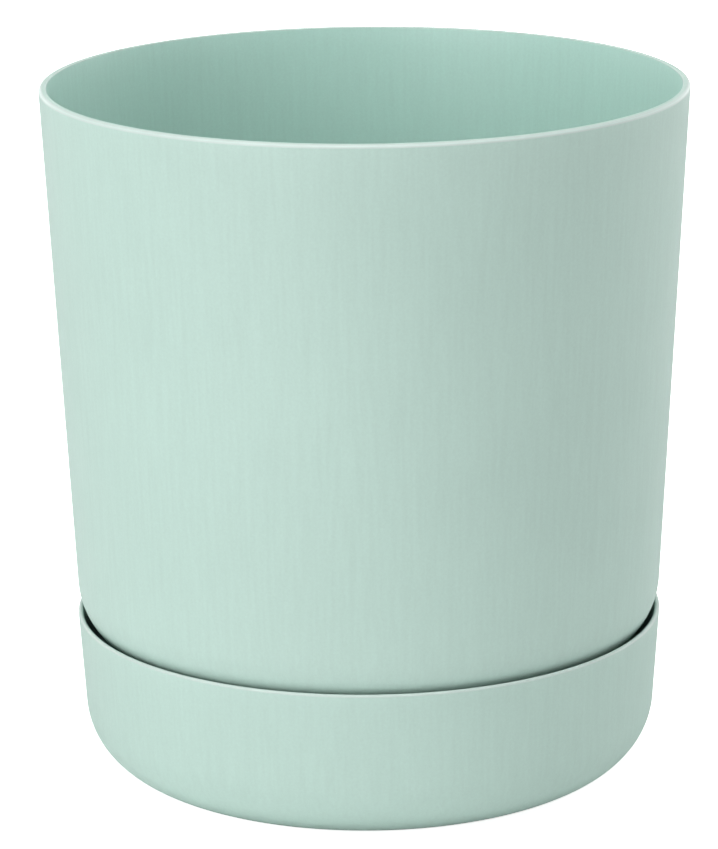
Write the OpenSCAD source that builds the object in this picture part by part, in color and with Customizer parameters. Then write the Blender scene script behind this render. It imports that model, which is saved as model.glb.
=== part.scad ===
// Self watering planter: a round pot standing in a saucer that holds the water.
// A perforated grid keeps the compost above the water, and four felt wicks in
// slotted cups reach down from the grid into the saucer.
// Origin: centre of the saucer's underside. +Z is up, -Y is the front.

/* [Pot] */
// Outer diameter of the pot across its lip
rim_d = 200; // [195:1:210]
// Height of the whole planter, from the saucer's underside to the lip
total_h = 217.5; // [170:0.5:260]
// Slope of the pot's wall from the vertical, in degrees
pot_draft = 2.88; // [2.5:0.02:3.3]
// Thickness of the pot's wall and base
pot_wall = 2.4; // [1.8:0.1:3]
// Radius of the lip's outer edge
lip_out_r = 1.2; // [0.6:0.1:1.3]
// Radius of the lip's inner edge
lip_in_r = 0.4; // [0.2:0.1:0.6]
// Radius of the pot's rounded bottom edge
pot_corner_r = 22; // [18:0.5:26]
// Height of the pot's underside above the ground
pot_base_z = 39; // [34:0.5:42]
// Width of the drain slits in the pot's base, narrow enough to keep compost and roots back
slit_w = 1.2; // [0.8:0.1:1.4]

/* [Saucer] */
// Gap between the pot and the saucer's rim
saucer_gap = 1.05; // [0.8:0.05:2.5]
// Height of the saucer
saucer_h = 50.2; // [47:0.1:52]
// Slope of the saucer's wall from the vertical, in degrees
saucer_draft = 3.72; // [2.5:0.02:5]
// Thickness of the saucer's wall and floor
saucer_wall = 2; // [1.6:0.1:2.2]
// Radius of the saucer's rounded bottom edge
saucer_corner_r = 21.7; // [16:0.1:26]
// Number of gaps in the support ring that let the water through
ring_gaps = 8; // [4:1:12]
// Width of each gap in the support ring
ring_gap_w = 12; // [6:1:16]

/* [Grid and wicks] */
// Thickness of the soil grid's plate
grid_t = 2.2; // [1.8:0.1:3]
// Height of the grid's legs, from the pot's base to the plate
grid_leg_h = 8.6; // [7:0.1:12]
// Number of legs under the grid
grid_legs = 8; // [4:4:8]
// Diameter of the grid's drain holes
grid_hole_d = 4.4; // [3:0.2:5]
// Diameter of the circle that the wick cups stand on
cup_circle_d = 64; // [60:1:68]
// Outer diameter of a wick cup below its flange
cup_top_d = 22; // [20:0.5:24]
// Outer diameter of a wick cup at its foot
cup_foot_d = 17; // [15:0.5:18]
// Thickness of a wick cup's wall
cup_wall = 1.3; // [1:0.1:1.6]
// Length that a felt wick stands proud of its cup
wick_proud = 4; // [2:0.5:8]

/* [Hidden] */
$fn = 96;

mint = "#b9d3ca";
mint_inner = "#a9c8bd";
felt_grey = "#d9d6cc";

cut = 1;                 // how far a cutting tool runs past a face
slide_gap = 0.4;         // room round a piece that lifts out of another
corner_steps = 20;       // steps in a rounded bottom edge
edge_steps = 6;          // steps in a quarter of a rounded lip

// Pot
pot_top_r = rim_d / 2;
pot_floor_z = pot_base_z + pot_wall;
pot_corner_z = pot_base_z + pot_corner_r;
pot_corner_c = wall_r(pot_top_r, total_h, pot_draft, pot_corner_z) - pot_corner_r / cos(pot_draft);
locator_h = 5;           // height of the locating ring under the pot
locator_t = 2;
// Rows of drain slits: distance from the axis, length, number of slits, angle of the first one
slit_rows = [[4.5, 12, 8, 0], [22, 18, 4, 0], [45, 8, 24, 7.5]];

// Saucer
saucer_top_r = pot_r(saucer_h) + saucer_gap + saucer_wall;
saucer_corner_c = wall_r(saucer_top_r, saucer_h, saucer_draft, saucer_corner_r)
  - saucer_corner_r / cos(saucer_draft);
saucer_floor_z = 3;      // top of the saucer's floor
ring_r = round(pot_corner_c - 10); // outer radius of the support ring
ring_t = 2.2;
hollow_h = 1;            // depth of the hollow under the saucer
hollow_r = ring_r;       // radius of the hollow, inside the foot that it leaves
hollow_edge = 1;         // slope at the hollow's edge
gate_d = 7;              // moulding gate mark
gate_h = 0.5;

// Grid
grid_r = round(pot_corner_c + 13);
grid_z = pot_floor_z + grid_leg_h;
grid_top_z = grid_z + grid_t;
leg_d = 8;
leg_circle_r = grid_r - 22;
grid_rim_h = 4;          // turned-down edge of the grid
grid_rim_t = 1.8;
// Rows of drain holes: radius of the row, number of holes, angle of the first one
hole_rows = [
  [10, 8, 22.5], [26, 4, 0], [34, 4, 0], [42, 4, 0],
  [grid_r - 33, 24, 7.5], [grid_r - 23, 24, 7.5], [grid_r - 13.5, 32, 0], [grid_r - 6, 40, 4.5]
];

// Wick cups and wicks
cup_count = 4;
cup_foot_z = saucer_floor_z + 2;
cup_len = grid_top_z - cup_foot_z;
cup_top_in = cup_top_d / 2 - cup_wall;
cup_foot_in = cup_foot_d / 2 - cup_wall;
flange_d = cup_top_d + 7;
flange_top_z = grid_top_z + 1.6;
cup_slots = 4;
cup_slot_w = 3;
cup_slot_h = 22;
cup_slot_z = cup_foot_z + 3;
cup_drain_d = 4;
wick_foot_z = cup_foot_z + cup_wall;
wick_top_z = flange_top_z + wick_proud;
wick_edge = 0.8;         // bevel round the top of a wick
first_cup_angle = 45;

// Radius at height z of a wall that has radius top_r at height top_z
function wall_r(top_r, top_z, draft, z) = top_r - (top_z - z) * tan(draft);

// Outer radius of the pot at height z, on its rounded bottom edge
function pot_r(z) = pot_corner_c + sqrt(pow(pot_corner_r, 2) - pow(pot_corner_z - z, 2));

// Outer radius of a cup at height z
function cup_r(z) = (cup_foot_d + (cup_top_d - cup_foot_d) * (z - cup_foot_z) / cup_len) / 2;

// Points of an arc about c, from angle a0 to angle a1
function arc(c, r, a0, a1, steps) =
  [for (i = [0:steps]) let (a = a0 + (a1 - a0) * i / steps) [c[0] + r * cos(a), c[1] + r * sin(a)]];

// Centre of an edge's rounding, at depth inside the outer face of a wall
function edge_centre(top_r, top_z, draft, depth, r) =
  [wall_r(top_r, top_z, draft, top_z - r) - depth / cos(draft), top_z - r];

module pot_section() {
  corner = [pot_corner_c, pot_corner_z];
  edge_out = edge_centre(pot_top_r, total_h, pot_draft, lip_out_r, lip_out_r);
  edge_in = edge_centre(pot_top_r, total_h, pot_draft, pot_wall - lip_in_r, lip_in_r);
  polygon(concat(
    [[0, pot_base_z]],
    arc(corner, pot_corner_r, -90, -pot_draft, corner_steps),
    arc(edge_out, lip_out_r, -pot_draft, 90, edge_steps),
    arc(edge_in, lip_in_r, 90, 180 - pot_draft, edge_steps),
    arc(corner, pot_corner_r - pot_wall, -pot_draft, -90, corner_steps),
    [[0, pot_floor_z]]
  ));
}

module saucer_section() {
  corner = [saucer_corner_c, saucer_corner_r];
  inner_r = saucer_corner_r - saucer_wall;
  floor_angle = asin((saucer_floor_z - saucer_corner_r) / inner_r);
  last_angle = floor_angle - (floor_angle + saucer_draft) / corner_steps;
  edge_r = saucer_wall / 2;
  edge = edge_centre(saucer_top_r, saucer_h, saucer_draft, edge_r, edge_r);
  polygon(concat(
    [[0, hollow_h], [hollow_r, hollow_h], [hollow_r + hollow_edge, 0]],
    arc(corner, saucer_corner_r, -90, -saucer_draft, corner_steps),
    arc(edge, edge_r, -saucer_draft, 180 - saucer_draft, 2 * edge_steps),
    arc(corner, inner_r, -saucer_draft, last_angle, corner_steps - 1),
    [[corner[0] + inner_r * cos(floor_angle), saucer_floor_z], [0, saucer_floor_z]]
  ));
}

// Wick cup: open at the top, with a flange that hangs on the grid
module cup_section() {
  polygon([
    [cup_drain_d / 2, cup_foot_z], [cup_foot_d / 2, cup_foot_z], [cup_top_d / 2, grid_top_z],
    [flange_d / 2, grid_top_z], [flange_d / 2, flange_top_z], [cup_top_in, flange_top_z],
    [cup_top_in, grid_top_z], [cup_foot_in, wick_foot_z], [cup_drain_d / 2, wick_foot_z]
  ]);
}

module wick_section() {
  foot_r = cup_foot_in - slide_gap;
  top_r = cup_top_in - slide_gap;
  polygon([
    [0, wick_foot_z], [foot_r, wick_foot_z], [top_r, grid_top_z], [top_r, wick_top_z - wick_edge],
    [top_r - wick_edge, wick_top_z], [0, wick_top_z]
  ]);
}

// Copies of the children on a circle
module around(count, circle_r, first = 0) {
  for (i = [0:count - 1])
    rotate(first + i * 360 / count) translate([circle_r, 0, 0]) children();
}

module saucer() {
  color(mint) difference() {
    union() {
      rotate_extrude() saucer_section();
      difference() {
        translate([0, 0, saucer_wall]) cylinder(h = pot_base_z - saucer_wall, r = ring_r);
        translate([0, 0, saucer_wall - cut]) cylinder(h = pot_base_z, r = ring_r - ring_t);
        around(ring_gaps, ring_r)
          translate([-ring_t - cut, -ring_gap_w / 2, saucer_wall - cut])
            cube([ring_t + 2 * cut, ring_gap_w, pot_base_z + cut]);
      }
    }
    translate([0, 0, hollow_h - cut]) cylinder(h = cut + gate_h, d = gate_d);
  }
}

module planter_pot() {
  locator_r = ring_r - ring_t - slide_gap;
  color(mint) difference() {
    union() {
      rotate_extrude() pot_section();
      translate([0, 0, pot_base_z - locator_h]) difference() {
        cylinder(h = locator_h + pot_wall / 2, r = locator_r);
        translate([0, 0, -cut]) cylinder(h = locator_h + cut, r = locator_r - locator_t);
      }
    }
    translate([0, 0, pot_base_z - cut]) {
      for (row = slit_rows)
        around(row[2], row[0], row[3]) translate([0, -slit_w / 2, 0])
          cube([row[1], slit_w, pot_wall + 2 * cut]);
      around(cup_count, cup_circle_d / 2, first_cup_angle)
        cylinder(h = pot_wall + 2 * cut, r = cup_r(pot_floor_z) + 2 * slide_gap);
    }
  }
}

module soil_grid() {
  rim_z = grid_top_z - grid_rim_h;
  color(mint_inner) difference() {
    union() {
      translate([0, 0, grid_z]) cylinder(h = grid_t, r = grid_r);
      translate([0, 0, rim_z]) difference() {
        cylinder(h = grid_rim_h, r = grid_r);
        translate([0, 0, -cut]) cylinder(h = grid_rim_h + 2 * cut, r = grid_r - grid_rim_t);
      }
      around(grid_legs, leg_circle_r) translate([0, 0, pot_floor_z])
        cylinder(h = grid_leg_h + grid_t / 2, d = leg_d);
    }
    translate([0, 0, grid_z - cut]) {
      for (row = hole_rows)
        around(row[1], row[0], row[2]) cylinder(h = grid_t + 2 * cut, d = grid_hole_d);
      around(cup_count, cup_circle_d / 2, first_cup_angle)
        cylinder(h = grid_t + 2 * cut, r = cup_top_d / 2 + slide_gap);
    }
  }
}

// The children at the place of cup number i, counted from 1
module at_cup(i) {
  rotate(first_cup_angle + (i - 1) * 360 / cup_count) translate([cup_circle_d / 2, 0, 0]) children();
}

module wick_cup(i) {
  color(mint_inner) at_cup(i) difference() {
    rotate_extrude() cup_section();
    for (s = [0:cup_slots - 1])
      rotate(45 + s * 360 / cup_slots) translate([cup_drain_d, -cup_slot_w / 2, cup_slot_z])
        cube([cup_top_d, cup_slot_w, cup_slot_h]);
  }
}

module felt_wick(i) {
  color(felt_grey) at_cup(i) rotate_extrude() wick_section();
}

saucer();
planter_pot();
soil_grid();
wick_cup(1);  // wick_cup_1
wick_cup(2);  // wick_cup_2
wick_cup(3);  // wick_cup_3
wick_cup(4);  // wick_cup_4
felt_wick(1);  // felt_wick_1
felt_wick(2);  // felt_wick_2
felt_wick(3);  // felt_wick_3
felt_wick(4);  // felt_wick_4
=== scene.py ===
"""Looks of the self watering planter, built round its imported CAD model. Metres, +Z up, front at -Y."""

import math

import bmesh
import bpy
from mathutils import Euler, Matrix, Vector, noise


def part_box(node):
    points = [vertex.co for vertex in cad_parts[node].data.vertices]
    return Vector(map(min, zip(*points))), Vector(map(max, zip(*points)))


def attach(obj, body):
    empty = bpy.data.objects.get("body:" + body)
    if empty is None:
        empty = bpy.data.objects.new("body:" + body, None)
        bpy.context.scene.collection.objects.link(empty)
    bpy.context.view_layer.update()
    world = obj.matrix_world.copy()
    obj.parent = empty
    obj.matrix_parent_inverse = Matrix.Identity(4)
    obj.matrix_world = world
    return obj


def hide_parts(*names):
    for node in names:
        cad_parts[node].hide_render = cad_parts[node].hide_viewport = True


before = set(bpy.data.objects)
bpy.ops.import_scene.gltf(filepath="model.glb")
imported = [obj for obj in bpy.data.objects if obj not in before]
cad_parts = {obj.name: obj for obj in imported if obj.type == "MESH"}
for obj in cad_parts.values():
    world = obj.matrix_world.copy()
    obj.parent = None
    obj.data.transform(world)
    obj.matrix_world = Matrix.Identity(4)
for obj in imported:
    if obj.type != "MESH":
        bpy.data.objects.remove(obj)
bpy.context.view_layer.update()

MM = 0.001
TAU = 2 * math.pi

# Sizes that the CAD boxes don't give, in metres
POT_DRAFT = math.radians(2.88)
POT_WALL = 2.4 * MM
POT_CORNER_R = 22 * MM
LIP_OUT_R = 1.2 * MM
LIP_IN_R = 0.4 * MM
SAUCER_DRAFT = math.radians(3.72)
SAUCER_WALL = 2 * MM
SAUCER_RIM_T = 1.5 * MM
SAUCER_CORNER_R = 21.7 * MM
SAUCER_FLOOR_Z = 3 * MM
SAUCER_GAP = 1.05 * MM
HOLLOW_H = 1 * MM
HOLLOW_EDGE = 1 * MM
GATE_R = 3.5 * MM
GATE_H = 0.5 * MM
RING_T = 2.2 * MM
RING_GAPS = 8
RING_GAP_W = 12 * MM
LOCATOR_H = 5 * MM
LOCATOR_T = 2 * MM
SLIDE_GAP = 0.4 * MM
SLIT_W = 1.2 * MM
GRID_T = 2.2 * MM
GRID_LEGS = 8
GRID_LEG_R = 4 * MM
GRID_LEG_INSET = 22 * MM
GRID_RIM_H = 4 * MM
GRID_RIM_T = 1.8 * MM
GRID_HOLE_R = 2.2 * MM
CUP_COUNT = 4
CUP_CIRCLE_R = 32 * MM
CUP_FIRST_ANGLE = math.radians(45)
CUP_TOP_R = 11 * MM
CUP_FOOT_R = 8.5 * MM
CUP_WALL = 1.3 * MM
CUP_SLOTS = 4
CUP_SLOT_W = 3 * MM
CUP_SLOT_H = 22 * MM
CUP_SLOT_RISE = 3 * MM
CUP_DRAIN_R = 2 * MM
WICK_FOOT_GAP = 0.02 * MM
LOCATOR_EDGE = 0.5 * MM
RING_EDGE = 0.4 * MM
GRID_EDGE = 0.8 * MM
LEG_EDGE = 0.5 * MM
LEG_FILLET = 0.8 * MM
CUP_FOOT_EDGE = 0.8 * MM
FLANGE_EDGE = 0.6 * MM
CUP_MOUTH_EDGE = 0.5 * MM
WICK_EDGE = 1.2 * MM
FLANGE_R = 14.5 * MM
FLANGE_T = 1.6 * MM
CHAMFER = 0.3 * MM

# Places that the CAD boxes give
pot_low, pot_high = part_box("planter_pot")
saucer_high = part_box("saucer")[1]
grid_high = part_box("soil_grid")[1]
cup_low, cup_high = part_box("wick_cup_1")
wick_low, wick_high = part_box("felt_wick_1")
TOTAL_H = pot_high.z
POT_TOP_R = pot_high.x
POT_BASE_Z = pot_low.z + LOCATOR_H
POT_FLOOR_Z = POT_BASE_Z + POT_WALL
GRID_TOP_Z = grid_high.z
GRID_Z = GRID_TOP_Z - GRID_T
GRID_R = grid_high.x
SAUCER_H = saucer_high.z
CUP_FOOT_Z = cup_low.z
FLANGE_TOP_Z = cup_high.z

# Steps round and along the turned surfaces
ROUND_STEPS = 320
CORNER_STEPS = 40
EDGE_STEPS = 8
SMOOTH_ANGLE = math.radians(30)

# Square soft lamps on a dome round the planter
DOME_R = 1.6
DOME_LIGHT = 0.7

# Camera, fitted to the outline of the planter in the photo
LENS = 168.57
SHIFT_X = -0.00993
CAMERA_AT = (0, -1.204875, 0.439818)
CAMERA_PITCH = 0.26872
CAMERA_ROLL = -0.008776

# The floor is lit to white where it is seen, but throws back less light than that
FLOOR_TONE = 0.86
FLOOR_GLOW = 0.85


def wall_r(top_r, top_z, draft, z):
    """Radius at height z of a sloped wall."""
    return top_r - (top_z - z) * math.tan(draft)


def arc(centre, radius, start, end, steps):
    """Points of an arc in the (radius, height) plane, angles in degrees."""
    angles = [math.radians(start + (end - start) * i / steps) for i in range(steps + 1)]
    return [(centre[0] + radius * math.cos(a), centre[1] + radius * math.sin(a)) for a in angles]


def new_object(name, mesh):
    obj = bpy.data.objects.new(name, mesh)
    bpy.context.scene.collection.objects.link(obj)
    return obj


def mesh_from(name, vertices, faces):
    mesh = bpy.data.meshes.new(name)
    mesh.from_pydata(vertices, [], faces)
    mesh.update()
    return mesh


def lathe(name, outline, closed=False, steps=ROUND_STEPS):
    """Surface of revolution about +Z. Anticlockwise outlines face outwards. Points on the axis are poles."""
    vertices, faces, rings = [], [], []
    for radius, height in outline:
        start = len(vertices)
        if radius < 1e-7:
            rings.append([start])
            vertices.append((0, 0, height))
        else:
            rings.append(list(range(start, start + steps)))
            angles = [TAU * i / steps for i in range(steps)]
            vertices += [(radius * math.cos(a), radius * math.sin(a), height) for a in angles]
    pairs = list(zip(rings, rings[1:]))
    if closed:
        pairs.append((rings[-1], rings[0]))
    for lower, upper in pairs:
        for i in range(steps):
            j = (i + 1) % steps
            if len(lower) == 1:
                faces.append((lower[0], upper[j], upper[i]))
            elif len(upper) == 1:
                faces.append((lower[i], lower[j], upper[0]))
            else:
                faces.append((lower[i], lower[j], upper[j], upper[i]))
    return new_object(name, mesh_from(name, vertices, faces))


def joined(name, objects):
    """One object that holds the meshes of several, which are removed."""
    whole = bmesh.new()
    for obj in objects:
        obj.data.transform(obj.matrix_world)
        whole.from_mesh(obj.data)
        bpy.data.objects.remove(obj)
    mesh = bpy.data.meshes.new(name)
    whole.to_mesh(mesh)
    whole.free()
    return new_object(name, mesh)


def around(make, count, radius, first=0.0):
    """Objects that make() returns, placed on a circle about +Z."""
    placed = []
    for i in range(count):
        obj = make()
        turn = Matrix.Rotation(first + TAU * i / count, 4, "Z")
        obj.matrix_world = turn @ Matrix.Translation((radius, 0, 0))
        placed.append(obj)
    bpy.context.view_layer.update()
    return placed


def apply_modifiers(obj):
    bpy.context.view_layer.update()
    evaluated = obj.evaluated_get(bpy.context.evaluated_depsgraph_get())
    old = obj.data
    obj.data = bpy.data.meshes.new_from_object(evaluated)
    obj.modifiers.clear()
    bpy.data.meshes.remove(old)


def combine(obj, tools, operation):
    """Cuts the tools out of obj, or adds them to it, and removes them."""
    tool = joined("tool", tools)
    step = obj.modifiers.new("combine", "BOOLEAN")
    step.operation, step.solver, step.object = operation, "EXACT", tool
    apply_modifiers(obj)
    bpy.data.objects.remove(tool)


def hole_cutter(radius, low, high, steps=48):
    """Cutter for a round hole from height low to high, with a small chamfer at both faces."""
    wide, past = radius + CHAMFER, 1 * MM
    outline = [
        (0, low - past), (wide, low - past), (wide, low), (radius, low + CHAMFER),
        (radius, high - CHAMFER), (wide, high), (wide, high + past), (0, high + past),
    ]
    return lathe("hole", outline, steps=steps)


def slit_cutter(length, low, high):
    """Cutter for a radial slit from height low to high, with a small chamfer at both faces."""
    half, wide, past = SLIT_W / 2, SLIT_W / 2 + CHAMFER, 1 * MM
    side = [
        (wide, low - past), (wide, low), (half, low + CHAMFER),
        (half, high - CHAMFER), (wide, high), (wide, high + past),
    ]
    return prism("slit", side + [(-y, z) for y, z in reversed(side)], 0, length)


def slit_rows():
    """Distance from the axis, length, count and first angle in degrees of each row of the pot's slits."""
    inner, middle, outer = (4.5 * MM, 12 * MM, 8, 0), (22 * MM, 18 * MM, 4, 0), (45 * MM, 8 * MM, 24, 7.5)
    return [inner, middle, outer]


def prism(name, outline, start_x, end_x):
    """Closed outline in the (y, z) plane, drawn out along X."""
    count = len(outline)
    vertices = [(x, y, z) for x in (start_x, end_x) for y, z in outline]
    faces = [tuple(range(count))[::-1], tuple(range(count, 2 * count))]
    faces += [(i, (i + 1) % count, count + (i + 1) % count, count + i) for i in range(count)]
    return new_object(name, mesh_from(name, vertices, faces))


def finish_mesh(obj, body, node, slot, *materials):
    """Smooths obj, gives it its materials, and puts it in the place of a CAD node."""
    mesh = obj.data
    for polygon in mesh.polygons:
        polygon.use_smooth = True
    mesh.set_sharp_from_angle(angle=SMOOTH_ANGLE)
    mesh.materials.clear()
    for material in materials:
        mesh.materials.append(material)
    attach(obj, body)
    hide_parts(node)


# ---------------------------------------------------------------- materials


class Nodes:
    """Short way to add nodes to a material and link them."""

    def __init__(self, name):
        self.material = bpy.data.materials.new(name)
        self.material.use_nodes = True
        self.tree = self.material.node_tree
        self.shader = self.tree.nodes["Principled BSDF"]
        self.place = self.add("ShaderNodeTexCoord").outputs["Object"]

    def add(self, kind, **settings):
        node = self.tree.nodes.new(kind)
        for key, value in settings.items():
            setattr(node, key, value)
        return node

    def link(self, output, target):
        self.tree.links.new(output, target)

    def noise(self, scale, detail=2.0, roughness=0.5, place=None):
        node = self.add("ShaderNodeTexNoise")
        node.inputs["Scale"].default_value = scale
        node.inputs["Detail"].default_value = detail
        node.inputs["Roughness"].default_value = roughness
        self.link(place or self.place, node.inputs["Vector"])
        return node.outputs["Fac"]

    def stretched(self, scale):
        node = self.add("ShaderNodeMapping")
        node.inputs["Scale"].default_value = scale
        self.link(self.place, node.inputs["Vector"])
        return node.outputs["Vector"]

    def spread(self, value, from_low, from_high, to_low, to_high):
        node = self.add("ShaderNodeMapRange")
        self.link(value, node.inputs["Value"])
        limits = {"From Min": from_low, "From Max": from_high, "To Min": to_low, "To Max": to_high}
        for key, number in limits.items():
            node.inputs[key].default_value = number
        return node.outputs["Result"]

    def mix(self, factor, first, second):
        node = self.add("ShaderNodeMix", data_type="RGBA")
        self.link(factor, node.inputs["Factor"])
        for socket, value in ((node.inputs[6], first), (node.inputs[7], second)):
            if isinstance(value, tuple):
                socket.default_value = (*value, 1)
            else:
                self.link(value, socket)
        return node.outputs[2]

    def scale(self, colour, factor):
        node = self.add("ShaderNodeVectorMath", operation="SCALE")
        self.link(colour, node.inputs["Vector"])
        self.link(factor, node.inputs["Scale"])
        return node.outputs["Vector"]

    def bump(self, height, distance, normal=None):
        node = self.add("ShaderNodeBump")
        node.inputs["Strength"].default_value = 1
        node.inputs["Distance"].default_value = distance
        self.link(height, node.inputs["Height"])
        if normal:
            self.link(normal, node.inputs["Normal"])
        return node.outputs["Normal"]


def scaled(colour, factor):
    return tuple(channel * factor for channel in colour)


def plastic(name, colour, rough_low, rough_high, grain):
    """Moulded polypropylene: spark-eroded grain, faint clouding and streaks, and a painted highlight that
    makes sharp edges paler.
    """
    n = Nodes(name)
    cloud = n.spread(n.noise(14, 4, 0.55), 0.3, 0.7, 0, 1)
    tone = n.mix(cloud, scaled(colour, 0.982), scaled(colour, 1.018))
    tone = n.scale(tone, n.spread(n.noise(1300, 3, 0.6), 0.3, 0.7, 0.975, 1.025))
    tone = n.scale(tone, n.spread(n.noise(700, 2, 0.5, n.stretched((1, 1, 0.04))), 0.3, 0.7, 0.982, 1.018))
    # Sharp edges and the lip are mixed towards a whiter tint: a painted highlight.
    edge = n.spread(n.add("ShaderNodeNewGeometry").outputs["Pointiness"], 0.511, 0.518, 0, 1)
    edge_highlight = tuple(0.55 * channel + 0.3 for channel in colour)
    n.link(n.mix(edge, tone, edge_highlight), n.shader.inputs["Base Color"])
    patch = n.spread(n.noise(45, 3, 0.6), 0.3, 0.7, rough_low, rough_high)
    n.link(patch, n.shader.inputs["Roughness"])
    fine = n.bump(n.noise(2600, 3, 0.65), grain)
    n.link(n.bump(n.noise(900, 2, 0.5), 0.6 * grain, normal=fine), n.shader.inputs["Normal"])
    n.shader.inputs["IOR"].default_value = 1.49
    return n.material


def felt(name, colour):
    """Bonded fibre: streaks along the wick, loose tufts and an open, rough face."""
    n = Nodes(name)
    streak = n.noise(520, 5, 0.7, n.stretched((1, 1, 0.12)))
    tuft = n.noise(300, 4, 0.7)
    tone = n.mix(n.spread(streak, 0.35, 0.65, 0, 1), scaled(colour, 0.82), scaled(colour, 1.1))
    n.link(n.mix(n.spread(tuft, 0.4, 0.7, 0, 0.5), tone, scaled(colour, 0.9)), n.shader.inputs["Base Color"])
    n.link(n.spread(tuft, 0.3, 0.7, 0.85, 1), n.shader.inputs["Roughness"])
    fibres = n.bump(streak, 0.25 * MM)
    n.link(n.bump(tuft, 0.2 * MM, normal=fibres), n.shader.inputs["Normal"])
    n.shader.inputs["Sheen Weight"].default_value = 0.4
    return n.material


MINT = (0.487, 0.655, 0.592)
mint_outer = plastic("mint_outer", MINT, 0.44, 0.54, 0.03 * MM)
# Brighter, more saturated copy of the mint for the faces inside the pot, the grid and the cups: painted
# light bounced round the inside. The lower roughness and finer grain are the inner finish.
MINT_INNER_LIT = (0.515, 0.738, 0.668)
mint_inner = plastic("mint_inner", MINT_INNER_LIT, 0.36, 0.46, 0.015 * MM)
wick_felt = felt("wick_felt", (0.66, 0.63, 0.56))


# ---------------------------------------------------------------- pieces


def edge_centre(top_r, top_z, draft, depth, radius):
    """Centre of an edge's rounding, at depth inside the outer face of a wall."""
    z = top_z - radius
    return (wall_r(top_r, top_z, draft, z) - depth / math.cos(draft), z)


def straight(start, end, steps):
    """Points strictly between start and end, which keep the quads of a long wall short."""
    return [tuple(Vector(start).lerp(Vector(end), i / steps)) for i in range(1, steps)]


pot_corner_z = POT_BASE_Z + POT_CORNER_R
pot_corner = (
    wall_r(POT_TOP_R, TOTAL_H, POT_DRAFT, pot_corner_z) - POT_CORNER_R / math.cos(POT_DRAFT),
    pot_corner_z,
)
pot_r_at_saucer = pot_corner[0] + math.sqrt(POT_CORNER_R**2 - (pot_corner_z - SAUCER_H) ** 2)
saucer_top_r = pot_r_at_saucer + SAUCER_GAP + SAUCER_WALL
ring_r = round((pot_corner[0] - 10 * MM) / MM) * MM


def make_pot():
    draft = math.degrees(POT_DRAFT)
    edge_out = edge_centre(POT_TOP_R, TOTAL_H, POT_DRAFT, LIP_OUT_R, LIP_OUT_R)
    edge_in = edge_centre(POT_TOP_R, TOTAL_H, POT_DRAFT, POT_WALL - LIP_IN_R, LIP_IN_R)
    outer = arc(pot_corner, POT_CORNER_R, -90, -draft, CORNER_STEPS)
    lip = arc(edge_out, LIP_OUT_R, -draft, 90, EDGE_STEPS)
    lip += arc(edge_in, LIP_IN_R, 90, 180 - draft, EDGE_STEPS)
    inner = arc(pot_corner, POT_CORNER_R - POT_WALL, -draft, -90, CORNER_STEPS)
    locator_out = ring_r - RING_T - SLIDE_GAP
    locator_in = locator_out - LOCATOR_T
    foot_z = POT_BASE_Z - LOCATOR_H
    locator = [(locator_in, POT_BASE_Z)]
    locator += arc((locator_in + LOCATOR_EDGE, foot_z + LOCATOR_EDGE), LOCATOR_EDGE, 180, 270, 4)
    locator += arc((locator_out - LOCATOR_EDGE, foot_z + LOCATOR_EDGE), LOCATOR_EDGE, 270, 360, 4)
    locator += [(locator_out, POT_BASE_Z)]
    outline = [(0, POT_BASE_Z)] + locator + outer + straight(outer[-1], lip[0], 24) + lip
    outline += straight(lip[-1], inner[0], 24) + inner + [(0, POT_FLOOR_Z)]
    pot = lathe("pot_shell", outline)
    cup_r = CUP_FOOT_R + (CUP_TOP_R - CUP_FOOT_R) * (POT_FLOOR_Z - CUP_FOOT_Z) / (GRID_TOP_Z - CUP_FOOT_Z)
    hole_r = cup_r + 2 * SLIDE_GAP
    base = (POT_BASE_Z, POT_FLOOR_Z)
    tools = around(lambda: hole_cutter(hole_r, *base, 72), CUP_COUNT, CUP_CIRCLE_R, CUP_FIRST_ANGLE)
    for inner_r, length, count, first in slit_rows():
        tools += around(lambda: slit_cutter(length, *base), count, inner_r, math.radians(first))
    combine(pot, tools, "DIFFERENCE")
    finish_mesh(pot, "pot", "planter_pot", "mint_plastic", mint_outer, mint_inner)
    # Faces inside the pot take the brighter copy of the mint, which is painted bounced light.
    for polygon in pot.data.polygons:
        c, normal = polygon.center, polygon.normal
        inside = c.x * normal.x + c.y * normal.y < 0 or normal.z > 0.5
        if inside and c.z < TOTAL_H - LIP_IN_R and c.z > POT_BASE_Z + 0.5 * POT_WALL:
            polygon.material_index = 1


def ring_wall():
    """One of the walls of the saucer's support ring, which stands between two gaps."""
    half_gap = RING_GAP_W / 2 / ring_r
    span = TAU / RING_GAPS - 2 * half_gap
    steps = 24
    bottom, top = SAUCER_WALL, POT_BASE_Z
    section = [(ring_r - RING_T, bottom), (ring_r, bottom), (ring_r, top), (ring_r - RING_T, top)]
    vertices = []
    for i in range(steps + 1):
        a = half_gap + span * i / steps
        vertices += [(r * math.cos(a), r * math.sin(a), z) for r, z in section]
    faces = [(3, 2, 1, 0), tuple(4 * steps + k for k in range(4))]
    for i in range(steps):
        for k in range(4):
            m = (k + 1) % 4
            faces.append((4 * i + k, 4 * i + m, 4 * i + 4 + m, 4 * i + 4 + k))
    wall = new_object("ring_wall", mesh_from("ring_wall", vertices, faces))
    bevel = wall.modifiers.new("edges", "BEVEL")
    bevel.width, bevel.segments, bevel.limit_method = RING_EDGE, 2, "ANGLE"
    bevel.angle_limit = math.radians(40)
    apply_modifiers(wall)
    return wall


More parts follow.
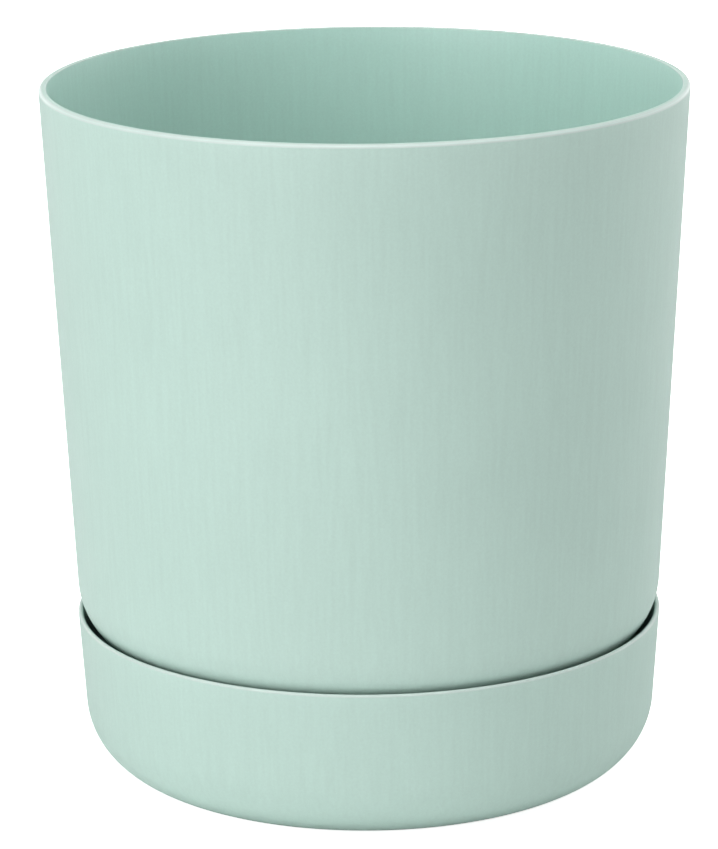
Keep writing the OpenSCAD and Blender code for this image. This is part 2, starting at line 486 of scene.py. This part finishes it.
def make_saucer():
    draft = math.degrees(SAUCER_DRAFT)
    wall_at_corner = wall_r(saucer_top_r, SAUCER_H, SAUCER_DRAFT, SAUCER_CORNER_R)
    corner = (wall_at_corner - SAUCER_CORNER_R / math.cos(SAUCER_DRAFT), SAUCER_CORNER_R)
    inner_r = SAUCER_CORNER_R - SAUCER_WALL
    floor_angle = math.degrees(math.asin((SAUCER_FLOOR_Z - SAUCER_CORNER_R) / inner_r))
    edge_r = SAUCER_RIM_T / 2
    edge = edge_centre(saucer_top_r, SAUCER_H, SAUCER_DRAFT, edge_r, edge_r)
    outer = arc(corner, SAUCER_CORNER_R, -90, -draft, CORNER_STEPS)
    rim = arc(edge, edge_r, -draft, 180 - draft, 2 * EDGE_STEPS)
    inner = arc(corner, inner_r, -draft, floor_angle, CORNER_STEPS)
    gate_z = HOLLOW_H + GATE_H
    hollow_in, hollow_out = (GATE_R + 0.2 * MM, HOLLOW_H), (ring_r, HOLLOW_H)
    foot_in = (ring_r + HOLLOW_EDGE, 0)
    outline = [(0, gate_z), (GATE_R, gate_z), hollow_in] + straight(hollow_in, hollow_out, 60)
    outline += [hollow_out, foot_in] + straight(foot_in, outer[0], 6)
    outline += outer + straight(outer[-1], rim[0], 6) + rim + straight(rim[-1], inner[0], 6) + inner
    outline += [(0, SAUCER_FLOOR_Z)]
    saucer = lathe("saucer_shell", outline)
    combine(saucer, around(ring_wall, RING_GAPS, 0), "UNION")
    finish_mesh(saucer, "saucer", "saucer", "mint_plastic", mint_outer)


def grid_hole_rows():
    """Radius, number of holes and first angle in degrees of each row of drain holes."""
    inner = [(10 * MM, 8, 22.5), (26 * MM, 4, 0), (34 * MM, 4, 0), (42 * MM, 4, 0)]
    insets = [(33, 24, 7.5), (23, 24, 7.5), (13.5, 32, 0), (6, 40, 4.5)]
    return inner + [(GRID_R - inset * MM, count, first) for inset, count, first in insets]


def make_grid():
    rim_z = GRID_TOP_Z - GRID_RIM_H
    rim_in = GRID_R - GRID_RIM_T
    outline = [(0, GRID_Z), (rim_in - 0.6 * MM, GRID_Z), (rim_in, GRID_Z - 0.6 * MM)]
    outline += [(rim_in, rim_z + CHAMFER), (rim_in + CHAMFER, rim_z), (GRID_R - CHAMFER, rim_z)]
    outline += [(GRID_R, rim_z + CHAMFER)]
    outline += arc((GRID_R - GRID_EDGE, GRID_TOP_Z - GRID_EDGE), GRID_EDGE, 0, 90, 6) + [(0, GRID_TOP_Z)]
    grid = lathe("grid_plate", outline, steps=240)
    leg = [(0, POT_FLOOR_Z), (GRID_LEG_R - LEG_EDGE, POT_FLOOR_Z), (GRID_LEG_R, POT_FLOOR_Z + LEG_EDGE)]
    leg += [(GRID_LEG_R, GRID_Z - LEG_FILLET), (GRID_LEG_R + LEG_FILLET, GRID_Z)]
    leg += [(GRID_LEG_R, GRID_Z + GRID_T / 2), (0, GRID_Z + GRID_T / 2)]
    legs = around(lambda: lathe("leg", leg, steps=40), GRID_LEGS, GRID_R - GRID_LEG_INSET)
    combine(grid, legs, "UNION")
    tools = []
    plate = (GRID_Z, GRID_TOP_Z)
    for radius, count, first in grid_hole_rows():
        tools += around(lambda: hole_cutter(GRID_HOLE_R, *plate, 24), count, radius, math.radians(first))
    cup_hole = CUP_TOP_R + SLIDE_GAP
    tools += around(lambda: hole_cutter(cup_hole, *plate, 72), CUP_COUNT, CUP_CIRCLE_R, CUP_FIRST_ANGLE)
    combine(grid, tools, "DIFFERENCE")
    finish_mesh(grid, "grid", "soil_grid", "mint_plastic_inner", mint_inner)


def slot_cutter():
    """Upright slot with round ends, cut outwards from a cup's axis."""
    r = CUP_SLOT_W / 2
    low, high = CUP_FOOT_Z + CUP_SLOT_RISE, CUP_FOOT_Z + CUP_SLOT_RISE + CUP_SLOT_H
    outline = arc((0, high - r), r, 0, 180, 12) + arc((0, low + r), r, 180, 360, 12)
    return prism("slot", outline, 4 * MM, 2 * CUP_TOP_R)


def at_cup(obj, number):
    turn = Matrix.Rotation(CUP_FIRST_ANGLE + TAU * (number - 1) / CUP_COUNT, 4, "Z")
    obj.data.transform(turn @ Matrix.Translation((CUP_CIRCLE_R, 0, 0)))


def make_cup(number):
    top_in, foot_in = CUP_TOP_R - CUP_WALL, CUP_FOOT_R - CUP_WALL
    inside_z = CUP_FOOT_Z + CUP_WALL
    foot_edge = (CUP_FOOT_R - CUP_FOOT_EDGE, CUP_FOOT_Z + CUP_FOOT_EDGE)
    outline = [(CUP_DRAIN_R, CUP_FOOT_Z), (CUP_FOOT_R - CUP_FOOT_EDGE, CUP_FOOT_Z)]
    outline += arc(foot_edge, CUP_FOOT_EDGE, -80, -5, 5)
    outline += [(CUP_TOP_R, GRID_TOP_Z), (FLANGE_R - CHAMFER, GRID_TOP_Z), (FLANGE_R, GRID_TOP_Z + CHAMFER)]
    outline += arc((FLANGE_R - FLANGE_EDGE, FLANGE_TOP_Z - FLANGE_EDGE), FLANGE_EDGE, 0, 90, 5)
    outline += arc((top_in + CUP_MOUTH_EDGE, FLANGE_TOP_Z - CUP_MOUTH_EDGE), CUP_MOUTH_EDGE, 90, 180, 5)
    outline += [(top_in, GRID_TOP_Z), (foot_in, inside_z), (CUP_DRAIN_R, inside_z)]
    cup = lathe(f"cup_{number}", outline, closed=True, steps=96)
    combine(cup, around(slot_cutter, CUP_SLOTS, 0, math.radians(45)), "DIFFERENCE")
    at_cup(cup, number)
    finish_mesh(cup, f"cup_{number}", f"wick_cup_{number}", "mint_plastic_inner", mint_inner)


def make_wick(number):
    """Felt plug whose skin is drawn into streaks and tufts."""
    low, high = wick_low.z + WICK_FOOT_GAP, wick_high.z
    foot_r, top_r = CUP_FOOT_R - CUP_WALL - SLIDE_GAP, CUP_TOP_R - CUP_WALL - SLIDE_GAP
    steps = 70
    outline = [(foot_r * k / 8, low) for k in range(8)]
    for i in range(steps + 1):
        z = low + (high - 0.9 * MM - low) * i / steps
        share = min(1.0, (z - low) / (GRID_TOP_Z - low))
        outline.append((foot_r + (top_r - foot_r) * share, z))
    outline += arc((top_r - WICK_EDGE, high - WICK_EDGE), WICK_EDGE, 15, 90, 6)
    outline += [((top_r - WICK_EDGE) * (1 - k / 14), high) for k in range(1, 15)]
    wick = lathe(f"wick_{number}", outline, steps=128)
    seed = Vector((number * 7.3, number * 3.1, number * 5.7))
    for vertex in wick.data.vertices:
        co = vertex.co
        streak = noise.noise(Vector((co.x * 900, co.y * 900, co.z * 90)) + seed)
        tuft = noise.fractal(co * 420 + seed, 0.7, 2.1, 4)
        push = 0.12 * MM * streak + 0.12 * MM * tuft - 0.1 * MM
        if co.z > low + 0.5 * MM:
            radial = Vector((co.x, co.y, 0))
            near_top = co.z > high - 0.4 * MM
            direction = Vector((0, 0, 1)) if near_top or radial.length < 1e-6 else radial.normalized()
            vertex.co = co + direction * push * (1.8 if near_top else 1.0)
    at_cup(wick, number)
    finish_mesh(wick, f"wick_{number}", f"felt_wick_{number}", "wick_felt", wick_felt)


make_pot()
make_saucer()
make_grid()
for number in range(1, CUP_COUNT + 1):
    make_cup(number)
    make_wick(number)


# ---------------------------------------------------------------- stage, light and camera


def make_floor():
    """Pale floor that curves up far behind the planter."""
    half, front, back, wall = 6.0, -4.0, 5.0, 4.0
    bend = 1.5
    turns = [math.radians(9 * i) for i in range(11)]
    profile = [(front, 0)] + [(back + bend * math.sin(a), bend * (1 - math.cos(a))) for a in turns]
    profile.append((back + bend, wall))
    vertices = [(x, y, z) for y, z in profile for x in (-half, half)]
    faces = [(2 * i, 2 * i + 1, 2 * i + 3, 2 * i + 2) for i in range(len(profile) - 1)]
    floor = new_object("floor", mesh_from("floor", vertices, faces))
    for polygon in floor.data.polygons:
        polygon.use_smooth = True
    n = Nodes("floor")
    tone = n.mix(n.noise(6, 3), scaled((1, 1, 1), FLOOR_TONE), scaled((1, 1, 1), FLOOR_TONE + 0.01))
    n.link(tone, n.shader.inputs["Base Color"])
    n.shader.inputs["Roughness"].default_value = 0.9
    n.shader.inputs["Specular IOR Level"].default_value = 0.1
    n.shader.inputs["Emission Color"].default_value = (1, 1, 1, 1)
    seen = n.add("ShaderNodeLightPath").outputs["Is Camera Ray"]
    n.link(n.spread(seen, 0, 1, 0, FLOOR_GLOW), n.shader.inputs["Emission Strength"])
    floor.data.materials.append(n.material)


def lamp_round(name, azimuth, elevation, power):
    """Soft box on a dome round the planter. Azimuth 0 is in front, and 90 is on the right."""
    a, e = math.radians(azimuth), math.radians(elevation)
    aim = Vector((0, 0, TOTAL_H / 2))
    away = Vector((math.sin(a) * math.cos(e), -math.cos(a) * math.cos(e), math.sin(e)))
    light = bpy.data.lights.new(name, "AREA")
    light.shape, light.size = "SQUARE", DOME_LIGHT
    light.energy = power
    lamp = bpy.data.objects.new(name, light)
    lamp.location = aim + away * DOME_R
    lamp.rotation_euler = away.to_track_quat("Z", "Y").to_euler()
    bpy.context.scene.collection.objects.link(lamp)


def make_light():
    """Lamps only, with a dark world. Their powers are rounded results of a fit to the photo's tones."""
    world = bpy.data.worlds.new("studio")
    world.use_nodes = True
    background = world.node_tree.nodes["Background"]
    background.inputs["Color"].default_value = (1, 1, 1, 1)
    background.inputs["Strength"].default_value = 0
    bpy.context.scene.world = world
    lamp_round("key_low", -40, 12, 8.7)
    lamp_round("key_top", -65, 70, 7.5)
    lamp_round("key_side", -65, 12, 2.2)
    lamp_round("fill_low", -15, 12, 2.5)
    lamp_round("fill_top", -15, 70, 3)
    lamp_round("front_top", 15, 70, 4.4)
    lamp_round("right_top", 65, 70, 6.6)
    lamp_round("right_low", 60, 12, 2.4)
    lamp_round("rim_right", 115, 12, 7.6)
    lamp_round("rim_left", -115, 12, 2.6)
    lamp_round("side_left", -110, 45, 1.7)
    lamp_round("lip_left", -150, 12, 4.2)
    lamp_round("lip_back", 180, 12, 2.4)
    lamp_round("lip_right", 150, 12, 4.2)


def make_camera():
    """Camera at the fitted place, looking down on the front of the planter."""
    camera = bpy.data.cameras.new("camera")
    camera.sensor_width = 36
    camera.lens = LENS
    camera.shift_x = SHIFT_X
    holder = bpy.data.objects.new("camera", camera)
    tilt = Euler((math.pi / 2 - CAMERA_PITCH, 0, 0)).to_matrix().to_4x4()
    holder.matrix_world = Matrix.Translation(CAMERA_AT) @ tilt @ Matrix.Rotation(CAMERA_ROLL, 4, "Z")
    bpy.context.scene.collection.objects.link(holder)
    bpy.context.scene.camera = holder


make_floor()
make_light()
make_camera()
bpy.context.scene.view_settings.view_transform = "Standard"
